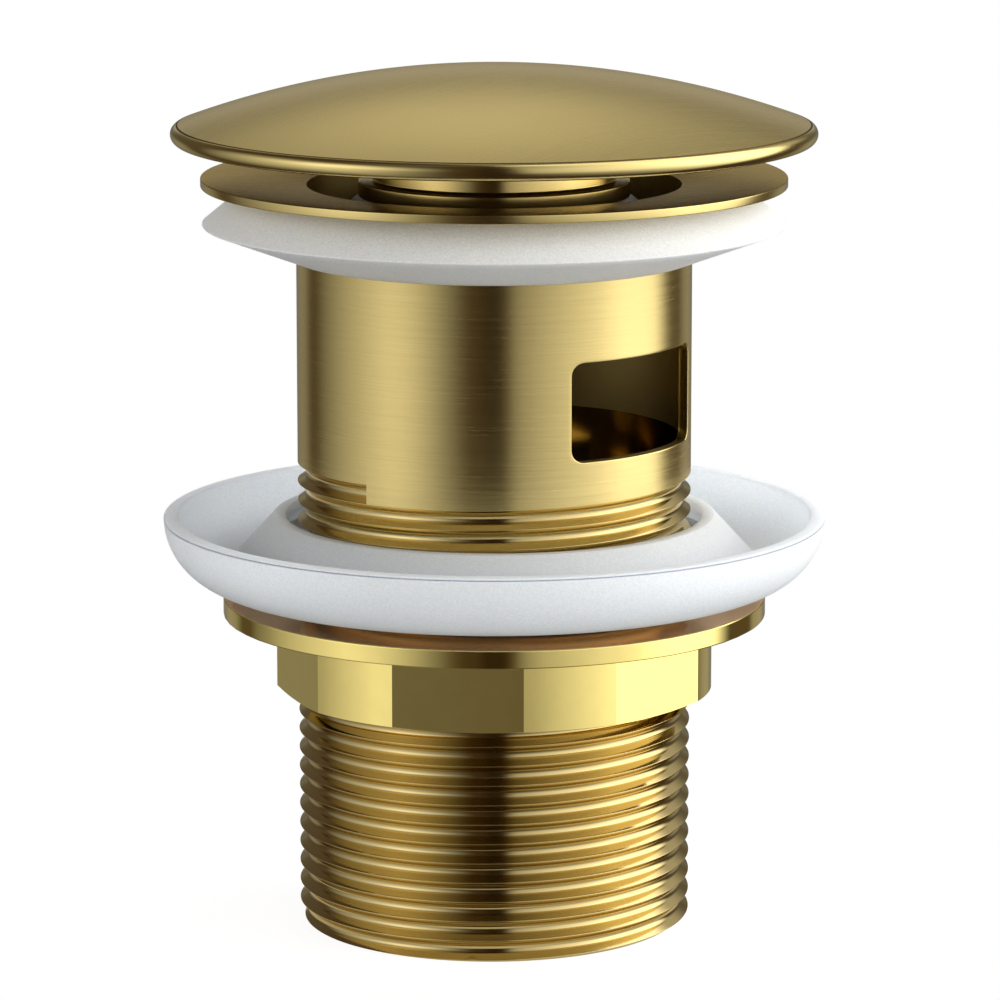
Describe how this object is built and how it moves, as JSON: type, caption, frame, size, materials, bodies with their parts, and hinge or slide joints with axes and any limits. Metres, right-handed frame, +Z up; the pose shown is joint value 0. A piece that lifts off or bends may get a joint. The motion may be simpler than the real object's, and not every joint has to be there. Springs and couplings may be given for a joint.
{
  "type": "pop up basin waste",
  "caption": "Slotted basin waste with a domed press-to-open plug, tapered and bowl-shaped sealing washers and a flanged hexagon backnut on a threaded tail.",
  "frame": {"origin": "centre of the threaded tail's lower end, on the body's axis", "axes": "+Z up along the body's axis towards the plug; front is -Y, overflow slot at the front right"},
  "size_m": [0.0706, 0.0706, 0.0915],
  "materials": {
    "brushed_gold": "brushed",
    "satin_gold": "satin",
    "polished_gold": "polished",
    "raw_brass": "machined",
    "white_rubber": "matt",
    "black_rubber": "matt",
    "acetal": "matt",
    "spring_steel": "drawn"
  },
  "bodies": {
    "waste": {"waste_body": "brushed_gold", "spider": "raw_brass", "cartridge_housing": "raw_brass", "cam_sleeve": "acetal", "guide_bush": "acetal", "housing_plug": "raw_brass", "locknut_washer": "raw_brass", "cartridge_locknut": "raw_brass", "return_spring": "spring_steel"},
    "upper_washer": {"upper_washer": "white_rubber"},
    "cup_washer": {"cup_washer": "white_rubber"},
    "backnut": {"backnut": "polished_gold"},
    "plunger": {"plunger": "raw_brass", "height_locknut": "raw_brass"},
    "rotor": {"rotor": "acetal"},
    "stem_seal": {"stem_oring": "black_rubber"},
    "plug_head": {"dome_cap": "brushed_gold", "plug_core": "satin_gold", "plug_seal": "white_rubber", "seal_retainer": "raw_brass", "retainer_nut": "raw_brass"}
  },
  "joints": [
    {"name": "plug_slide", "type": "slide", "parent": "waste", "child": "plunger", "axis": [0, 0, 1], "range_m": [-0.0012, 0.008], "deforming": ["return_spring"]},
    {"name": "rotor_turn", "type": "hinge", "parent": "plunger", "child": "rotor", "pos_m": [0, 0, 0.04], "axis": [0, 0, 1], "range_deg": [-7.5, 46]},
    {"name": "head_rise", "type": "slide", "parent": "plunger", "child": "stem_seal", "axis": [0, 0, 1], "range_m": [0, 0.00501]},
    {"name": "head_turn", "type": "hinge", "parent": "stem_seal", "child": "plug_head", "pos_m": [0, 0, 0.075], "axis": [0, 0, 1], "range_deg": [0, 1440]},
    {"name": "upper_washer_slide", "type": "slide", "parent": "waste", "child": "upper_washer", "axis": [0, 0, 1], "range_m": [-0.015, 0]},
    {"name": "backnut_travel", "type": "slide", "parent": "waste", "child": "cup_washer", "axis": [0, 0, 1], "range_m": [-0.0241, 0.01205]},
    {"name": "backnut_turn", "type": "hinge", "parent": "cup_washer", "child": "backnut", "pos_m": [0, 0, 0.03], "axis": [0, 0, 1], "range_deg": [-4176, 2088]}
  ],
  "couplings": [
    {"joint": "rotor_turn", "follows": "plug_slide", "rad_per_m": 98.175},
    {"joint": "head_rise", "follows": "head_turn", "m_per_rad": 0.00019894},
    {"joint": "backnut_travel", "follows": "backnut_turn", "m_per_rad": 0.00032929}
  ]
}
